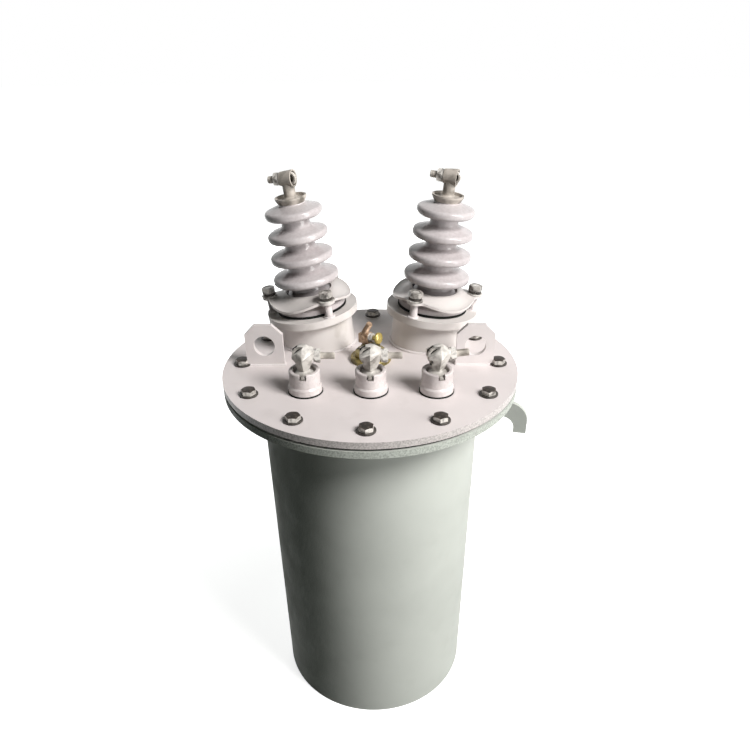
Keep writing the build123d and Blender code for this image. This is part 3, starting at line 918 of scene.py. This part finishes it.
def openJaw(name, node, place, s):
    # the head's front jaw is cut back along a slant, so that the ring shows beside it
    source = frame["nodes"][node]
    low, high = (Vector((s[end][0], 0, s[end][1])) for end in ("low", "high"))
    along = (high - low).normalized()
    lift = Vector((-along.z, 0, along.x))
    reach = s["reach"]
    bm = bmesh.new()
    corners = []
    for c in (s["slotHalf"], s["slotHalf"] + reach):
        for a, b in ((-reach, 0.0), (2 * reach, 0.0), (2 * reach, reach), (-reach, reach)):
            spot = low + along * a + lift * b - Vector((0, c, 0))
            corners.append(bm.verts.new(place @ spot))
    bm.faces.new(corners[:4])
    bm.faces.new(corners[4:])
    for i in range(4):
        j = (i + 1) % 4
        bm.faces.new((corners[i], corners[j], corners[4 + j], corners[4 + i]))
    cutter = bpy.data.objects.new("jawCutter", meshFrom("jawCutter", bm))
    scene.collection.objects.link(cutter)
    head = bpy.data.objects.new(name, source.data.copy())
    scene.collection.objects.link(head)
    head.matrix_world = source.matrix_world
    cut = head.modifiers.new("cut", "BOOLEAN")
    cut.operation = "DIFFERENCE"
    cut.solver = "EXACT"
    cut.object = cutter
    bpy.context.view_layer.update()
    done = bpy.data.meshes.new_from_object(
        head.evaluated_get(bpy.context.evaluated_depsgraph_get()))
    bpy.data.objects.remove(cutter)
    bpy.data.objects.remove(head)
    piece = newPiece(name, done, [], source.matrix_world.copy())
    done.set_sharp_from_angle(angle=radians(s["smoothBelow"]))
    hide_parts(node)


for step, hand in enumerate(("Left", "Middle", "Right")):
    place, end = lvPlace(step), hand.lower()
    paintShadeInside("lv_terminal_" + end, place, inLvSlot)
    openJaw("lvHead" + hand, "lv_terminal_" + end, place, jawSettings)
    dressEyebolt("lvEye" + hand, "lv_eyebolt_" + end, place, eyeSettings, lvSettings)
for side, hand in ((-1, "Left"), (1, "Right")):
    place, end = hvPlace(side), hand.lower()
    paintShadeInside("hv_terminal_" + end, place, inHvSlot)
    dressEyebolt("hvEye" + hand, "hv_eyebolt_" + end, place, eyeSettings, hvSettings)
print("eyebolts made")


# brass fitting: threaded rod, and the knob on the side stem with its nut and washer

fittingSettings = {
    "spot": (0.001, 0.016), "turn": 36.0, "top": 0.026, "blockHeight": 0.015, "sideHeight": 0.0092,
    "rodOffset": -0.0108, "rodRadius": 0.0046, "rodLength": 0.0185, "rodLean": 32.0, "rodSunk": 0.003,
    "pitch": 0.00125, "stemRadius": 0.0035, "stemStart": -0.0005, "stemLength": 0.0135,
    "stemTilt": 9.0, "stemSunk": 0.002, "nutFlats": 0.0115, "nutHeight": 0.0052, "nutPlay": 0.0001,
    "nutTurn": 0.2, "washer": 0.0068, "washerThick": 0.0012, "washerPlay": 0.0002,
    "knobRadius": 0.0085, "knobEdge": 0.0025, "knobDome": 0.003, "knobSoft": 0.0006,
    "rodSteps": 20, "knobSteps": 40, "washerSteps": 32, "domeStep": 10.0, "domeCount": 8,
}


def makeFitting(s):
    spot = Matrix.Translation((*s["spot"], lidTop + s["top"]))
    place = spot @ Matrix.Rotation(radians(-s["turn"]), 4, "Z")
    lean = (Matrix.Translation((s["rodOffset"], 0, s["blockHeight"]))
            @ Matrix.Rotation(radians(s["rodLean"]), 4, "Y"))
    bm = bmesh.new()
    addThread(bm, s["rodRadius"], s["pitch"], s["rodLength"] + s["rodSunk"],
              lean @ raised(-s["rodSunk"]), segments=s["rodSteps"])
    rod = newPiece("fittingRod", meshFrom("fittingRod", bm), [copperAlloy], place)
    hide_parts("fitting_rod")
    out = (place @ Matrix.Translation((s["stemStart"], 0, s["sideHeight"]))
           @ Matrix.Rotation(pi / 2 - radians(s["stemTilt"]), 4, "Y"))
    stem, full, soft = s["stemLength"], s["knobRadius"], s["knobSoft"]
    edge = stem + s["knobEdge"]
    turns = [radians(s["domeStep"] * (k + 1)) for k in range(s["domeCount"])]
    dome = [(full * cos(a), edge + s["knobDome"] * sin(a)) for a in turns]
    bm = bmesh.new()
    addTurned(bm, [(0, -s["stemSunk"]), (s["stemRadius"], -s["stemSunk"]), (s["stemRadius"], stem),
                   (full - soft, stem), (full, stem + soft), (full, edge)]
              + dome + [(0, edge + s["knobDome"])], s["knobSteps"])
    knob = newPiece("fittingKnob", meshFrom("fittingKnob", bm), [brassPolished], out)
    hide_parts("fitting_knob")
    washer = washerMesh("fittingWasher", s["stemRadius"] + s["washerPlay"], s["washer"],
                        s["washerThick"], s["washerSteps"])
    newPiece("fittingWasher", washer, [zincPlate], out)
    nut = nutMesh("fittingNut", s["nutFlats"], s["nutHeight"], s["stemRadius"] + s["nutPlay"])
    newPiece("fittingNut", nut, [zincPlate],
             out @ raised(s["washerThick"]) @ Matrix.Rotation(s["nutTurn"], 4, "Z"))


makeFitting(fittingSettings)
print("fitting made")


# weld beads

weldSettings = {
    "bead": 0.0028, "fineBead": 0.0022, "rimBead": 0.0032, "ripple": 0.0035, "sides": 8,
    "leanest": 0.9, "rise": 0.12, "wander": 0.06, "seed": 3,
    "pipeRadius": 0.0585, "footHeight": 0.0004, "ringHeight": 0.0446, "studRadius": 0.0066,
    "tankRadius": 0.1642, "rimLift": 0.0002,
}


def addBead(bm, points, size, s):
    # rippled bead round a closed line of points; its size wanders a little
    count = len(points)
    angles = [2 * pi * k / s["sides"] for k in range(s["sides"])]
    loops = []
    for i, (p, outward) in enumerate(points):
        along = (points[(i + 1) % count][0] - points[i - 1][0]).normalized()
        across = along.cross(outward).normalized()
        swell = size * (s["leanest"] + s["rise"] * (i % 3) / 2
                        + random.uniform(-s["wander"], s["wander"]))
        loops.append([bm.verts.new(p + (outward * cos(a) + across * sin(a)) * swell)
                      for a in angles])
    for one, two in zip(loops, loops[1:] + loops[:1]):
        for k in range(s["sides"]):
            j = (k + 1) % s["sides"]
            bm.faces.new((one[k], two[k], two[j], one[j]))


def circlePoints(place, radius, height, s, stretch=1.0):
    count = int(2 * pi * radius / (s["ripple"] / 3))
    found = []
    for i in range(count):
        a = 2 * pi * i / count
        found.append((place @ Vector((radius * stretch * cos(a), radius * sin(a), height)),
                      place.to_3x3() @ Vector((cos(a), sin(a), 0))))
    return found


def loopPoints(corners, outward, s):
    found = []
    for a, b in zip(corners, corners[1:] + corners[:1]):
        count = max(2, int((b - a).length / (s["ripple"] / 3)))
        found += [(a.lerp(b, i / count), outward) for i in range(count)]
    return found


def weldPiece(name, lines, size, paint, s):
    bm = bmesh.new()
    for points in lines:
        addBead(bm, points, size, s)
    newPiece(name, meshFrom(name, bm), [paint])


def makeWelds(s):
    random.seed(s["seed"])
    for side, hand in ((-1, "Left"), (1, "Right")):
        place = turretPlace(side)
        flat = Matrix.Translation(place.translation)
        foot = circlePoints(flat, s["pipeRadius"], s["footHeight"], s, 1 / cos(turretLean(side)))
        weldPiece("turretFootWeld" + hand, [foot], s["bead"], lidPaint, s)
        ring = circlePoints(place, s["pipeRadius"], s["ringHeight"], s)
        weldPiece("turretRingWeld" + hand, [ring], s["bead"], lidPaint, s)
        studs = [circlePoints(spot, s["studRadius"], studSettings["foot"], s)
                 for spot in studPlaces(side, studSettings)]
        weldPiece("studFootWeld" + hand, studs, s["fineBead"], lidPaint, s)
        low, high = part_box("lifting_eye_" + hand.lower())
        corners = [Vector((x, y, lidTop)) for x, y in (
            (low.x, low.y), (high.x, low.y), (high.x, high.y), (low.x, high.y))]
        eye = loopPoints(corners, Vector((0, 0, 1)), s)
        weldPiece("eyeWeld" + hand, [eye], s["fineBead"], lidPaint, s)
    rim = circlePoints(Matrix.Identity(4), s["tankRadius"], rimUnder + s["rimLift"], s)
    weldPiece("flangeWeld", [rim], s["rimBead"], tankPaint, s)


makeWelds(weldSettings)
print("welds made")


scene.view_settings.view_transform = "Standard"
print("scene ready")
